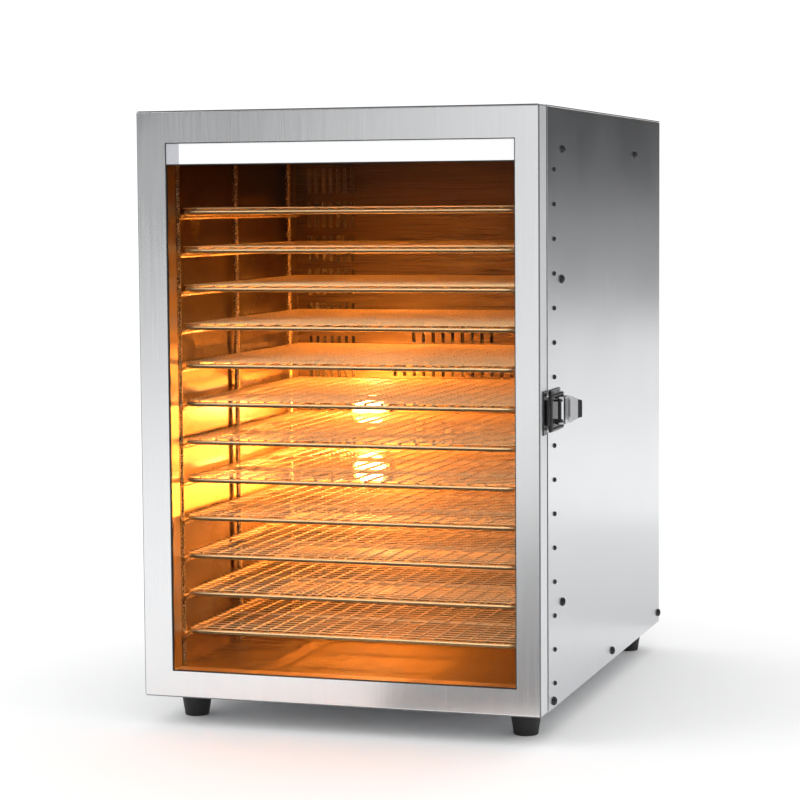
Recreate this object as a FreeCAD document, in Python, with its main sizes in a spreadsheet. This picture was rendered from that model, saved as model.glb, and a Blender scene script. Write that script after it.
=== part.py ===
"""Cabinet food dehydrator: a stainless case, a glass door, a wire rack and twelve trays.

Millimetres. +Z is up, the door faces -Y, and the origin is on the floor under the middle
of the whole object, latch and hinges included. Depths are counted back from the door's
front face, and heights up from the underside of the case.
"""
import FreeCAD, Part
import math
import os
import re

Vector = FreeCAD.Vector
Rotation = FreeCAD.Rotation

# ---------------------------------------------------------------- driving dimensions

DIMENSIONS = {
    # the case
    "body_width": 430.0,
    "body_height": 612.0,
    "body_depth": 590.0,
    "foot_height": 31.0,
    "mid_x": -7.5,
    "sheet_thick": 1.2,
    "side_wall": 20.0,
    "chamber_floor": 22.0,
    "chamber_top": 580.0,
    "baffle_depth": 428.0,
    "liner_thick": 0.8,
    # the door
    "door_thick": 27.0,
    "door_gap": 5.0,
    "stile_hinge": 32.0,
    "stile_latch": 25.0,
    "rail_top": 33.0,
    "rail_bottom": 28.0,
    "fascia_height": 22.0,
    "end_cap_width": 15.0,
    "glass_thick": 4.0,
    "glass_lap": 6.0,
    "glass_depth": 2.6,
    # the rack and the trays
    "tray_first": 64.0,
    "tray_pitch": 40.3,
    "tray_width": 366.0,
    "tray_length": 356.0,
    "tray_front": 38.0,
    "rim_radius": 2.5,
    "wire_radius": 1.1,
    "support_radius": 2.3,
    "post_radius": 3.0,
    "post_inset": 5.0,
    "runner_radius": 3.0,
    "runner_drop": 4.5,
    # fasteners
    "rivet_radius": 2.6,
    "rivet_rise": 2.0,
    "screw_radius": 4.6,
    "screw_rise": 3.0,
    "small_radius": 2.4,
    "small_rise": 1.4,
    # hinges
    "knuckle_radius": 4.5,
    "knuckle_out": 5.0,
    "leaf_thick": 2.0,
    "hinge_length": 60.0,
    "pin_radius": 2.0,
    "running_gap": 0.05,
    # the draw latch
    "latch_height": 305.5,
    "latch_reach": 24.0,
    "pivot_depth": 52.5,
    "pivot_out": 7.0,
    "latch_pin": 1.8,
    "loop_radius": 1.75,
    "loop_throw": 10.0,
    "loop_reach": 46.0,
    "lever_half": 14.0,
    # the fan and the heater
    "fan_height": 305.0,
    "shaft_radius": 4.0,
    "blade_tip": 92.0,
    "ring_radius": 112.0,
    "tube_radius": 4.0,
}

TRAY_COUNT = 12
TRAY_WIRES = 19
RIVET_COUNT = 16
FAN_BLADES = 6
BLADE_PITCH = 32.0
HINGE_HEIGHTS = (95.0, 517.0)
POST_DEPTHS = (48.0, 215.0, 386.0)

doc = FreeCAD.newDocument("food_dehydrator")
sheet = doc.addObject("Spreadsheet::Sheet", "dims")
for row, (alias, value) in enumerate(DIMENSIONS.items(), start=1):
    sheet.set(f"A{row}", alias)
    sheet.set(f"B{row}", str(value))
    sheet.setAlias(f"B{row}", alias)
doc.recompute()

# Places as formulas of the sheet. Depth and height read as they would on a drawing.
LEFT = "(mid_x - body_width / 2)"
RIGHT = "(mid_x + body_width / 2)"
BACK = "(body_depth / 2)"
BASE = "foot_height"
TOP = "(foot_height + body_height)"
CASE = "door_thick + door_gap"
WINDOW_LEFT = f"({LEFT} + stile_hinge)"
WINDOW_RIGHT = f"({RIGHT} - stile_latch)"
WINDOW_LOW = "rail_bottom"
WINDOW_HIGH = "body_height - rail_top"
GLASS_HIGH = "body_height - rail_top - fascia_height"


def depth(amount):
    """The Y of a plane this far behind the door's front face."""
    return f"(0 - body_depth / 2 + {amount})"


def height(amount):
    """The Z of a plane this far above the underside of the case."""
    return f"(foot_height + {amount})"


def across(amount):
    """The X of a plane this far right of the middle of the case."""
    return f"(mid_x + {amount})"


# ---------------------------------------------------------------- building blocks

TURNS = {
    "+x": Rotation(Vector(0, 1, 0), 90),
    "-x": Rotation(Vector(0, 1, 0), -90),
    "+y": Rotation(Vector(1, 0, 0), -90),
    "-y": Rotation(Vector(1, 0, 0), 90),
    "+z": Rotation(),
    "-z": Rotation(Vector(1, 0, 0), 180),
}
NODES = []


def bind(thing, prop, text):
    """Bind a property to a formula of the sheet's names."""
    thing.setExpression(prop, re.sub(r"\b([a-z]\w{2,})\b", r"dims.\1", str(text)))


def place(thing, at, turn=None):
    """Turn a thing, then bind its corner or centre to three formulas."""
    thing.Placement = FreeCAD.Placement(Vector(), turn or Rotation())
    for letter, text in zip("xyz", at):
        bind(thing, f"Placement.Base.{letter}", text)
    return thing


def slab(name, xs, ys, zs):
    """A box between pairs of planes."""
    thing = doc.addObject("Part::Box", name)
    for prop, (low, high) in zip(("Length", "Width", "Height"), (xs, ys, zs)):
        bind(thing, prop, f"({high}) - ({low})")
    return place(thing, (xs[0], ys[0], zs[0]))


def block(name, size, centre, turn=None):
    """A box of a given size about its centre, for pieces that stand at an angle."""
    thing = doc.addObject("Part::Box", name)
    for prop, text in zip(("Length", "Width", "Height"), size):
        bind(thing, prop, text)
    place(thing, [f"({c}) - ({s}) / 2" for c, s in zip(centre, size)], turn)
    return thing


def rod(name, radius, length, at, along="+z"):
    """A round bar that starts at a point and runs along an axis."""
    thing = doc.addObject("Part::Cylinder", name)
    bind(thing, "Radius", radius)
    bind(thing, "Height", length)
    return place(thing, at, TURNS[along])


def ball(name, radius, at):
    """A sphere, used where two round bars meet at a corner."""
    thing = doc.addObject("Part::Sphere", name)
    bind(thing, "Radius", radius)
    return place(thing, at)


def shifted(at, along, amount):
    """A point moved along a signed axis."""
    moved = list(at)
    index = "xyz".index(along[1])
    moved[index] = f"({moved[index]}) {along[0]} ({amount})"
    return moved


def head(name, kind, at, along):
    """A domed head on a surface, with a short shank that goes into the sheet below it."""
    rise = DIMENSIONS[f"{kind}_rise"]
    curve = (DIMENSIONS[f"{kind}_radius"] ** 2 + rise**2) / (2 * rise)
    dome = doc.addObject("Part::Sphere", f"{name}_dome")
    bind(dome, "Radius", f"({kind}_radius ^ 2 + {kind}_rise ^ 2) / (2 * {kind}_rise)")
    dome.Angle1 = math.degrees(math.asin((curve - rise) / curve))
    sunk = f"({kind}_radius ^ 2 - {kind}_rise ^ 2) / (2 * {kind}_rise)"
    back = {"+": "-", "-": "+"}[along[0]] + along[1]
    place(dome, shifted(at, back, sunk), TURNS[along])
    shank = rod(f"{name}_shank", f"{kind}_radius * 0.55", "0.6", shifted(at, back, "0.6"), along)
    return fuse(name, [dome, shank])


def fuse(name, parts):
    thing = doc.addObject("Part::MultiFuse", name)
    thing.Shapes = parts
    return thing


def group(name, parts):
    """Separate solids that share one node, such as identical fasteners."""
    thing = doc.addObject("Part::Compound", name)
    thing.Links = parts
    return thing


def cut(name, base, tools):
    thing = doc.addObject("Part::Cut", name)
    thing.Base = base
    thing.Tool = tools[0] if len(tools) == 1 else group(f"{name}_holes", tools)
    return thing


def node(thing, label):
    """Give a finished sub-part its own name and keep it for writing."""
    thing.Label = label
    NODES.append(thing)


# ---------------------------------------------------------------- the case

SHELL_Y = (depth(CASE), BACK)
INNER_X = (f"{LEFT} + sheet_thick", f"{RIGHT} - sheet_thick")
CHAMBER_X = (f"{LEFT} + side_wall", f"{RIGHT} - side_wall")
CHAMBER_Z = (height("chamber_floor"), height("chamber_top"))
FEET = [(side * 182.5, far) for side in (-1, 1) for far in (65, 557)]


def case_panels():
    side_z = (BASE, f"{TOP} - sheet_thick")
    node(slab("left_skin", (LEFT, f"{LEFT} + sheet_thick"), SHELL_Y, side_z), "side_panel_left")
    node(slab("right_skin", (f"{RIGHT} - sheet_thick", RIGHT), SHELL_Y, side_z), "side_panel_right")
    node(slab("roof", (LEFT, RIGHT), SHELL_Y, (f"{TOP} - sheet_thick", TOP)), "top_panel")

    floor = slab("floor", INNER_X, (depth(CASE), f"{BACK} - sheet_thick"), (BASE, f"{BASE} + 1.5"))
    holes = [rod(f"pan_hole_{i}", 2.6, 4, (across(x), depth(y), f"{BASE} - 1"))
             for i, (x, y) in enumerate(FEET)]
    node(cut("pan", floor, holes), "base_pan")


def front_frame():
    y = (depth(CASE), f"{depth(CASE)} + sheet_thick")
    plate = slab("mouth_plate", INNER_X, y, (f"{BASE} + 1.5", f"{TOP} - sheet_thick"))
    mouth = slab("mouth", CHAMBER_X, (f"{y[0]} - 1", f"{y[1]} + 1"), CHAMBER_Z)
    node(cut("mouth_ring", plate, [mouth]), "front_frame")


def chamber_liner():
    y = (f"{depth(CASE)} + sheet_thick", depth("baffle_depth"))
    low, high = CHAMBER_Z
    full_z = (f"{low} - liner_thick", f"{high} + liner_thick")
    plates = [
        slab("liner_left", (f"{CHAMBER_X[0]} - liner_thick", CHAMBER_X[0]), y, full_z),
        slab("liner_right", (CHAMBER_X[1], f"{CHAMBER_X[1]} + liner_thick"), y, full_z),
        slab("liner_floor", CHAMBER_X, y, (full_z[0], low)),
        slab("liner_roof", CHAMBER_X, y, (high, full_z[1])),
    ]
    node(group("liner", plates), "chamber_liner")


def insulation():
    y = (f"{depth(CASE)} + sheet_thick", depth("baffle_depth"))
    side_z = (f"{BASE} + 1.5", f"{TOP} - sheet_thick")
    inner = (f"{CHAMBER_X[0]} - liner_thick", f"{CHAMBER_X[1]} + liner_thick")
    slabs = [
        slab("wool_left", (INNER_X[0], inner[0]), y, side_z),
        slab("wool_right", (inner[1], INNER_X[1]), y, side_z),
        slab("wool_floor", inner, y, (height(9), f"{CHAMBER_Z[0]} - liner_thick")),
        slab("wool_roof", inner, y, (f"{CHAMBER_Z[1]} + liner_thick", side_z[1])),
    ]
    node(group("wool", slabs), "insulation_slabs")


def slot(name, x, z, y, width=4, tall=30):
    return slab(name, (across(f"{x} - {width} / 2"), across(f"{x} + {width} / 2")), y,
                (height(f"{z} - {tall} / 2"), height(f"{z} + {tall} / 2")))


def rear_baffle():
    """The wall behind the trays: a round field of slots that air leaves by, and a band of
    slots at each side that it comes back through."""
    y = (depth("baffle_depth"), f"{depth('baffle_depth')} + sheet_thick")
    plate = slab("baffle_plate", INNER_X, y, (f"{BASE} + 1.5", f"{TOP} - sheet_thick"))
    through = (f"{y[0]} - 1", f"{y[1]} + 1")
    fan = DIMENSIONS["fan_height"]
    tools = []
    for column in range(-7, 8):
        for rise in (-60, -20, 20, 60):
            if math.hypot(column * 12, abs(rise) + 15) < 90:
                tools.append(slot(f"intake_{len(tools)}", column * 12, fan + rise, through))
    for side in (-1, 1):
        for column in range(7):
            for row in range(13):
                x = side * (124 + 9 * column)
                tools.append(slot(f"outlet_{len(tools)}", x, 62 + 40 * row, through))
    tools.append(rod("probe_hole", 2.2, 6, (across(100), f"{y[0]} - 2", height(540)), "+y"))
    node(cut("baffle", plate, tools), "rear_baffle")


INLET = (120, 60)
SWITCH = (68, 60)


def rear_cover():
    y = (f"{BACK} - sheet_thick", BACK)
    plate = slab("cover_plate", INNER_X, y, (BASE, f"{TOP} - sheet_thick"))
    through = (f"{y[0]} - 1", f"{y[1]} + 1")
    tools = []
    for first, rows in ((230, 10), (500, 5)):
        for row in range(rows):
            for x in (-75, 0, 75):
                tools.append(slot(f"louvre_{len(tools)}", x, first + 14 * row, through, 60, 5))
    tools.append(slot("inlet_hole", *INLET, through, 28, 21))
    tools.append(slot("switch_hole", *SWITCH, through, 13, 20))
    node(cut("cover", plate, tools), "rear_cover")


def feet():
    pads, screws = [], []
    for i, (x, y) in enumerate(FEET):
        pad = doc.addObject("Part::Cone", f"pad_{i}")
        pad.Radius1 = 12.8
        pad.Radius2 = 17.8
        bind(pad, "Height", "foot_height")
        place(pad, (across(x), depth(y), 0))
        bore = rod(f"pad_bore_{i}", 2.6, "foot_height + 4", (across(x), depth(y), -2))
        recess = rod(f"pad_recess_{i}", 6.5, 10, (across(x), depth(y), -2))
        pads.append(cut(f"foot_{i}", pad, [fuse(f"foot_void_{i}", [bore, recess])]))
        cap = rod(f"foot_cap_{i}", 5, 3, (across(x), depth(y), 5))
        stem = rod(f"foot_stem_{i}", 2.5, "foot_height - 1", (across(x), depth(y), 7))
        nut = rod(f"foot_nut_{i}", 4.5, 3, (across(x), depth(y), f"{BASE} + 1.5"))
        screws.append(fuse(f"foot_screw_{i}", [cap, stem, nut]))
    node(group("feet", pads), "rubber_feet")
    node(group("feet_screws", screws), "foot_screws")


def side_fasteners():
    """A column of rivets down each side, and larger screws at the corners and the foot."""
    rivets, screws = [], []
    behind_latch = RIVET_COUNT // 2
    spots = ((93, 569), (443, 569), (89, 437), (90, 104), (53, 7.5), (325, 11), (582, 12))
    for label, x, along in (("l", LEFT, "-x"), ("r", RIGHT, "+x")):
        for i in range(RIVET_COUNT):
            if label == "r" and i == behind_latch:
                continue
            at = (x, depth(58), height(25 + 34.87 * i))
            rivets.append(head(f"rivet_{label}{i}", "rivet", at, along))
        for i, (y, z) in enumerate(spots):
            screws.append(head(f"screw_{label}{i}", "screw", (x, depth(y), height(z)), along))
    for x in (-200, 0, 200):
        for z in (10, 600):
            at = (across(x), BACK, height(z))
            screws.append(head(f"screw_b{len(screws)}", "screw", at, "+y"))
    node(group("side_column", rivets), "side_rivets")
    node(group("case_heads", screws), "case_screws")


# ---------------------------------------------------------------- the rack and the trays

POST_X = "body_width / 2 - side_wall - post_inset"
RUNNER_X = f"{POST_X} - post_radius - runner_radius + 0.2"


def rack():
    posts, runners = [], []
    for side in ("-", "+"):
        x = f"(mid_x {side} ({POST_X}))"
        for y in POST_DEPTHS:
            length = "chamber_top - chamber_floor"
            posts.append(rod(f"post_{len(posts)}", "post_radius", length, (x, depth(y), CHAMBER_Z[0])))
        x = f"(mid_x {side} ({RUNNER_X}))"
        for i in range(TRAY_COUNT):
            z = height(f"tray_first + tray_pitch * {i} - runner_drop")
            runners.append(rod(f"runner_{len(runners)}", "runner_radius", 364, (x, depth(36), z), "+y"))
    node(group("posts", posts), "rack_posts")
    node(group("runners", runners), "tray_runners")


def tray(index):
    """A rim bent from one rod, two cross supports under a row of wires."""
    name = f"tray_{index + 1:02d}"
    middle = height(f"tray_first + tray_pitch * {index}")
    bend = 12
    left = "(mid_x - tray_width / 2 + rim_radius)"
    right = "(mid_x + tray_width / 2 - rim_radius)"
    front = depth("tray_front + rim_radius")
    rear = depth("tray_front + tray_length - rim_radius")
    inner_width = f"tray_width - 2 * rim_radius - 2 * {bend}"
    inner_length = f"tray_length - 2 * rim_radius - 2 * {bend}"
    parts = [
        rod(f"{name}_front", "rim_radius", inner_width, (f"{left} + {bend}", front, middle), "+x"),
        rod(f"{name}_rear", "rim_radius", inner_width, (f"{left} + {bend}", rear, middle), "+x"),
        rod(f"{name}_left", "rim_radius", inner_length, (left, f"{front} + {bend}", middle), "+y"),
        rod(f"{name}_right", "rim_radius", inner_length, (right, f"{front} + {bend}", middle), "+y"),
    ]
    corners = ((right, rear, "-", "-", 0), (left, rear, "+", "-", 90),
               (left, front, "+", "+", 180), (right, front, "-", "+", 270))
    for x, y, x_sign, y_sign, angle in corners:
        elbow = doc.addObject("Part::Torus", f"{name}_bend_{angle}")
        elbow.Radius1 = bend
        bind(elbow, "Radius2", "rim_radius")
        elbow.Angle3 = 90
        place(elbow, (f"{x} {x_sign} {bend}", f"{y} {y_sign} {bend}", middle),
              Rotation(Vector(0, 0, 1), angle))
        parts.append(elbow)
    for share in (1 / 3, 2 / 3):
        y = f"{front} + (tray_length - 2 * rim_radius) * {share:.4f}"
        parts.append(rod(f"{name}_support_{len(parts)}", "support_radius",
                         "tray_width - 2 * rim_radius", (left, y, middle), "+x"))
    wire_z = f"{middle} + rim_radius + wire_radius - 0.5"
    for i in range(TRAY_WIRES):
        x = f"(mid_x + tray_width * {(i + 1) / (TRAY_WIRES + 1) - 0.5:.4f})"
        parts.append(rod(f"{name}_wire_{i}", "wire_radius", "tray_length - 2 * rim_radius",
                         (x, front, wire_z), "+y"))
    node(fuse(f"{name}_solid", parts), name)


# ---------------------------------------------------------------- the door

def door_frame():
    outer = slab("door_block", (LEFT, RIGHT), (depth(0), depth("door_thick")), (BASE, TOP))
    hollow = slab("door_hollow", INNER_X, (depth("sheet_thick"), depth("door_thick + 1")),
                  (f"{BASE} + sheet_thick", f"{TOP} - sheet_thick"))
    window = slab("door_window", (WINDOW_LEFT, WINDOW_RIGHT), (depth(-1), depth(5)),
                  (height(WINDOW_LOW), height(WINDOW_HIGH)))
    skin = cut("door_skin", outer, [fuse("door_void", [hollow, window])])
    node(skin, "door_frame")


def door_inner_frame():
    """The back of the door: a flat ring, and four walls that run forward to the glass."""
    opening_z = (height(WINDOW_LOW), height(GLASS_HIGH))
    ring = slab("ring_plate", (f"{LEFT} + 1.4", f"{RIGHT} - 1.4"),
                (depth("door_thick - sheet_thick"), depth("door_thick")),
                (f"{BASE} + 1.4", f"{TOP} - 1.4"))
    sleeve = slab("sleeve_outer", (f"{WINDOW_LEFT} - 1", f"{WINDOW_RIGHT} + 1"),
                  (depth("glass_depth + glass_thick"), depth("door_thick")),
                  (f"{opening_z[0]} - 1", f"{opening_z[1]} + 1"))
    void = slab("sleeve_inner", (WINDOW_LEFT, WINDOW_RIGHT), (depth(0), depth("door_thick + 1")),
                opening_z)
    node(cut("inner_frame", fuse("ring_and_sleeve", [ring, sleeve]), [void]), "door_inner_frame")


def door_glazing():
    wide = (f"{WINDOW_LEFT} - glass_lap", f"{WINDOW_RIGHT} + glass_lap")
    low = height(f"{WINDOW_LOW} - glass_lap")
    node(slab("pane", wide, (depth("glass_depth"), depth("glass_depth + glass_thick")),
              (low, height(f"{GLASS_HIGH} + 5"))), "door_glass")
    y = (depth("sheet_thick"), depth("glass_depth"))
    band = slab("gasket_band", wide, y, (low, height(GLASS_HIGH)))
    sight = slab("gasket_sight", (f"{WINDOW_LEFT} + 1.2", f"{WINDOW_RIGHT} - 1.2"),
                 (f"{y[0]} - 1", f"{y[1]} + 1"),
                 (height(f"{WINDOW_LOW} + 1.2"), height(f"{GLASS_HIGH} - 1.2")))
    node(cut("gasket", band, [sight]), "glass_gasket")


def door_seal():
    """A soft ring on the door's back that closes on the case's front frame."""
    y = (depth("door_thick"), depth("door_thick + 4.6"))
    band = slab("seal_band", (f"{LEFT} + 8", f"{RIGHT} - 8"), y, (height(8), f"{TOP} - 17"))
    inside = slab("seal_inside", (f"{LEFT} + 17", f"{RIGHT} - 17"), (f"{y[0]} - 1", f"{y[1]} + 1"),
                  (height(17), f"{TOP} - 26"))
    node(cut("seal", band, [inside]), "door_seal")


def control_strip():
    y = (depth(0.8), depth(2.2))
    z = (height(GLASS_HIGH), height(WINDOW_HIGH))
    split = f"{WINDOW_LEFT} + end_cap_width"
    node(slab("strip_cap", (WINDOW_LEFT, split), y, z), "fascia_end_cap")
    node(slab("strip", (split, WINDOW_RIGHT), y, z), "control_fascia")
    board = slab("board", (across(-150), across(150)), (depth(9), depth(10.6)),
                 (height(f"{GLASS_HIGH} + 6"), height(f"{GLASS_HIGH} + 20")))
    chips = [slab(f"chip_{i}", (across(x), across(x + 16)), (depth(10.6), depth(13)),
                  (height(f"{GLASS_HIGH} + 8"), height(f"{GLASS_HIGH} + 18")))
             for i, x in enumerate(range(-130, 130, 48))]
    node(fuse("board_and_chips", [board] + chips), "control_board")


# ---------------------------------------------------------------- hinges

AXIS_X = f"({LEFT} - knuckle_out)"
AXIS_DEPTH = "door_thick + door_gap / 2"


def hinges():
    """Two butt hinges on the left. Three knuckles belong to the case and two to the door."""
    case_leaves, door_leaves, pins = [], [], []
    bore = "pin_radius + running_gap"
    leaf_x = (f"{LEFT} - leaf_thick", LEFT)
    web_x = (f"{LEFT} - leaf_thick", f"{LEFT} - 0.5")
    for h, middle in enumerate(HINGE_HEIGHTS):
        low = f"{middle} - hinge_length / 2"
        fixed = [slab(f"case_plate_{h}", leaf_x, (depth(f"{CASE} + 2"), depth(f"{CASE} + 20")),
                      (height(low), height(f"{low} + hinge_length")))]
        moving = [slab(f"door_plate_{h}", leaf_x, (depth("door_thick - 21"), depth("door_thick - 2")),
                       (height(low), height(f"{low} + hinge_length")))]
        for k in range(5):
            start = f"{low} + hinge_length * {k} / 5 + 0.15"
            tall = "hinge_length / 5 - 0.3"
            z = (height(start), height(f"{start} + {tall}"))
            barrel = rod(f"barrel_{h}{k}", "knuckle_radius", tall, (AXIS_X, depth(AXIS_DEPTH), z[0]))
            if k % 2:
                web_y = (depth("door_thick - 2"), depth(AXIS_DEPTH))
                moving += [barrel, slab(f"web_{h}{k}", web_x, web_y, z)]
            else:
                web_y = (depth(AXIS_DEPTH), depth(f"{CASE} + 2"))
                fixed += [barrel, slab(f"web_{h}{k}", web_x, web_y, z)]
        for label, parts, made in (("case", fixed, case_leaves), ("door", moving, door_leaves)):
            hole = rod(f"{label}_bore_{h}", bore, "hinge_length + 4",
                       (AXIS_X, depth(AXIS_DEPTH), height(f"{low} - 2")))
            made.append(cut(f"{label}_leaf_{h}", fuse(f"{label}_leaf_blank_{h}", parts), [hole]))
        shaft = rod(f"pin_shaft_{h}", "pin_radius", "hinge_length + 3",
                    (AXIS_X, depth(AXIS_DEPTH), height(f"{low} - 1.5")))
        ends = [rod(f"pin_end_{h}{i}", 3.4, 1.5, (AXIS_X, depth(AXIS_DEPTH), height(z)))
                for i, z in enumerate((f"{low} - 1.5", f"{low} + hinge_length"))]
        pins.append(fuse(f"pin_{h}", [shaft] + ends))
    node(group("case_leaves", case_leaves), "hinge_case_leaves")
    node(group("door_leaves", door_leaves), "hinge_door_leaves")
    node(group("pins", pins), "hinge_pins")


def small_screws():
    """Small domed screws: hinge leaves, latch plates and the door's inner frame."""
    case_heads, door_heads = [], []
    leaf_face = f"{LEFT} - leaf_thick"
    for middle in HINGE_HEIGHTS:
        for rise in (-22, 0, 22):
            z = height(middle + rise)
            at = (leaf_face, depth(f"{CASE} + 13"), z)
            case_heads.append(head(f"case_small_{len(case_heads)}", "small", at, "-x"))
            at = (leaf_face, depth("door_thick - 14"), z)
            door_heads.append(head(f"door_small_{len(door_heads)}", "small", at, "-x"))
    for rise in (-17.5, 17.5):
        z = height(f"latch_height + {rise}")
        at = (f"{RIGHT} + 1.5", depth(73), z)
        case_heads.append(head(f"case_small_{len(case_heads)}", "small", at, "+x"))
        at = (f"{RIGHT} + 1.5", depth(23.4), z)
        door_heads.append(head(f"door_small_{len(door_heads)}", "small", at, "+x"))
    for x in (f"{LEFT} + 24", f"{RIGHT} - 20.5"):
        for z in (120, 306, 492):
            at = (x, depth("door_thick"), height(z))
            door_heads.append(head(f"door_small_{len(door_heads)}", "small", at, "+y"))
    node(group("case_small", case_heads), "small_screws_case")
    node(group("door_small", door_heads), "small_screws_door")


# ---------------------------------------------------------------- the draw latch

def latch_z(low, high):
    """Two planes at heights about the latch's middle."""
    return (height(f"latch_height + {low}"), height(f"latch_height + {high}"))


def out(amount):
    """The X of a plane this far outside the right side panel."""
    return f"({RIGHT} + {amount})"


LOOP_DEPTH = "pivot_depth + loop_throw"


def latch_parts():
    plate = slab("latch_plate", (RIGHT, out(1.5)), (depth(38.5), depth(77.5)), latch_z(-21.5, 21.5))
    post = [plate]
    for sign in (-1, 1):
        z = latch_z(*sorted((sign * 9, sign * 11)))
        post.append(slab(f"ear_{sign}", (out(1), out("pivot_out")),
                         (depth("pivot_depth - 3.2"), depth("pivot_depth + 3.2")), z))
        post.append(rod(f"ear_top_{sign}", 3.2, 2, (out("pivot_out"), depth("pivot_depth"), z[0])))
    post.append(rod("latch_axle", "latch_pin", 29.2,
                    (out("pivot_out"), depth("pivot_depth"), height("latch_height - 14.6"))))
    node(fuse("latch_stand", post), "latch_base")

    lip_z = latch_z(-13, 13)
    keeper = [
        slab("keeper_plate", (RIGHT, out(1.5)), (depth(8.5), depth(26.5)), latch_z(-22, 22)),
        slab("keeper_wall", (out(1), out(4.9)), (depth(18.5), depth(20)), lip_z),
        slab("keeper_lip", (out(3.7), out(4.9)), (depth(13), depth(20)), lip_z),
    ]
    node(fuse("keeper", keeper), "latch_keeper")


def latch_lever():
    """A plate over two cheeks, turned up at its free end and rounded for the finger."""
    tip_in, tip_out = 12, 14
    z_low = height("latch_height - lever_half")
    web = slab("lever_web", (out("pivot_out + 4"), out("pivot_out + 6")),
               (depth("pivot_depth"), depth("pivot_depth + 14.01")),
               (z_low, height("latch_height + lever_half")))
    centre = (out("pivot_out + 4 + 14"), depth("pivot_depth + 14"), z_low)
    turned = Rotation(Vector(0, 0, 1), 95)
    for name, radius in (("tip_outer", tip_out), ("tip_inner", tip_in)):
        sector = doc.addObject("Part::Cylinder", name)
        sector.Radius = radius
        bind(sector, "Height", "2 * lever_half")
        sector.Angle = 85
        place(sector, centre, turned)
    curl = cut("lever_curl", doc.getObject("tip_outer"), [doc.getObject("tip_inner")])
    plate = fuse("lever_plate", [web, curl])
    round_y = "pivot_depth + 15"
    mask = fuse("lever_mask", [
        slab("mask_straight", (RIGHT, out(40)), (depth("pivot_depth - 1"), depth(round_y)),
             (z_low, height("latch_height + lever_half"))),
        rod("mask_round", "lever_half", 40, (RIGHT, depth(round_y), height("latch_height")), "+x"),
    ])
    rounded = doc.addObject("Part::Common", "lever_rounded")
    rounded.Base = plate
    rounded.Tool = mask
    parts = [rounded]
    for sign in (-1, 1):
        z = latch_z(*sorted((sign * 12, sign * 14)))
        parts.append(slab(f"cheek_{sign}", (out("pivot_out - 4.6"), out("pivot_out + 4.5")),
                          (depth("pivot_depth"), depth("pivot_depth + 15")), z))
        parts.append(rod(f"cheek_eye_{sign}", 4.6, 2, (out("pivot_out"), depth("pivot_depth"), z[0])))
    holes = []
    for y, radius in (("pivot_depth", "latch_pin"), (LOOP_DEPTH, "loop_radius")):
        holes.append(rod(f"lever_hole_{len(holes)}", f"{radius} + running_gap", 34,
                         (out("pivot_out"), depth(y), height("latch_height - 17"))))
    node(cut("lever", fuse("lever_blank", parts), holes), "latch_lever")


def latch_loop():
    """A bent wire: a bar over the keeper, two arms, and two ends turned into the lever."""
    x = out("pivot_out")
    far, near = depth(LOOP_DEPTH), depth(f"{LOOP_DEPTH} - loop_reach")
    parts = [rod("loop_bar", "loop_radius", 34, (x, near, height("latch_height - 17")))]
    for sign in (-1, 1):
        z = height(f"latch_height + {sign * 17}")
        start = height(f"latch_height + {min(sign * 17, sign * 12)}")
        parts += [
            rod(f"loop_arm_{sign}", "loop_radius", "loop_reach", (x, near, z), "+y"),
            rod(f"loop_end_{sign}", "loop_radius", 5, (x, far, start)),
            ball(f"loop_front_{sign}", "loop_radius", (x, near, z)),
            ball(f"loop_rear_{sign}", "loop_radius", (x, far, z)),
        ]
    node(fuse("loop", parts), "latch_loop")


# ---------------------------------------------------------------- the rear compartment

FAN_Z = height("fan_height")


def fan_and_motor():
    hub = rod("hub", 14, 26, (across(0), depth(440), FAN_Z), "+y")
    parts = [hub]
    for i in range(FAN_BLADES):
        blade = doc.addObject("Part::Box", f"blade_{i}")
        bind(blade, "Length", "blade_tip - 12")
        blade.Width = 2
        blade.Height = 24
        turn = Rotation(Vector(0, 1, 0), 360 / FAN_BLADES * i) * Rotation(Vector(1, 0, 0), 90 - BLADE_PITCH)
        corner = turn.multVec(Vector(12, -1, -12))
        place(blade, (across(f"{corner.x:.5f}"), depth(f"453 + {corner.y:.5f}"),
                      height(f"fan_height + {corner.z:.5f}")), turn)
        parts.append(blade)
    bore = rod("hub_bore", "shaft_radius", 40, (across(0), depth(435), FAN_Z), "+y")
    node(cut("impeller", fuse("impeller_blank", parts), [bore]), "fan_impeller")
    node(rod("spindle", "shaft_radius", 82, (across(0), depth(438), FAN_Z), "+y"), "motor_shaft")

    can = [rod("motor_can", 42, 46, (across(0), depth(500), FAN_Z), "+y"),
           rod("motor_cap", 30, 8, (across(0), depth(546), FAN_Z), "+y")]
    well = rod("motor_well", "shaft_radius + running_gap", 24, (across(0), depth(499), FAN_Z), "+y")
    node(cut("motor", fuse("motor_blank", can), [well]), "fan_motor")

    strap_z = (height("fan_height - 30"), height("fan_height + 30"))
    near, far = depth("baffle_depth + sheet_thick"), depth(500)
    strap = [slab("strap", (across(-165), across(165)), (depth(498.5), far), strap_z)]
    for i, x in enumerate((-165, 163.5)):
        strap.append(slab(f"strap_leg_{i}", (across(x), across(x + 1.5)), (near, far), strap_z))
    eye = rod("strap_eye", 6, 6, (across(0), depth(496), FAN_Z), "+y")
    node(cut("bracket", fuse("bracket_blank", strap), [eye]), "motor_bracket")


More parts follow.
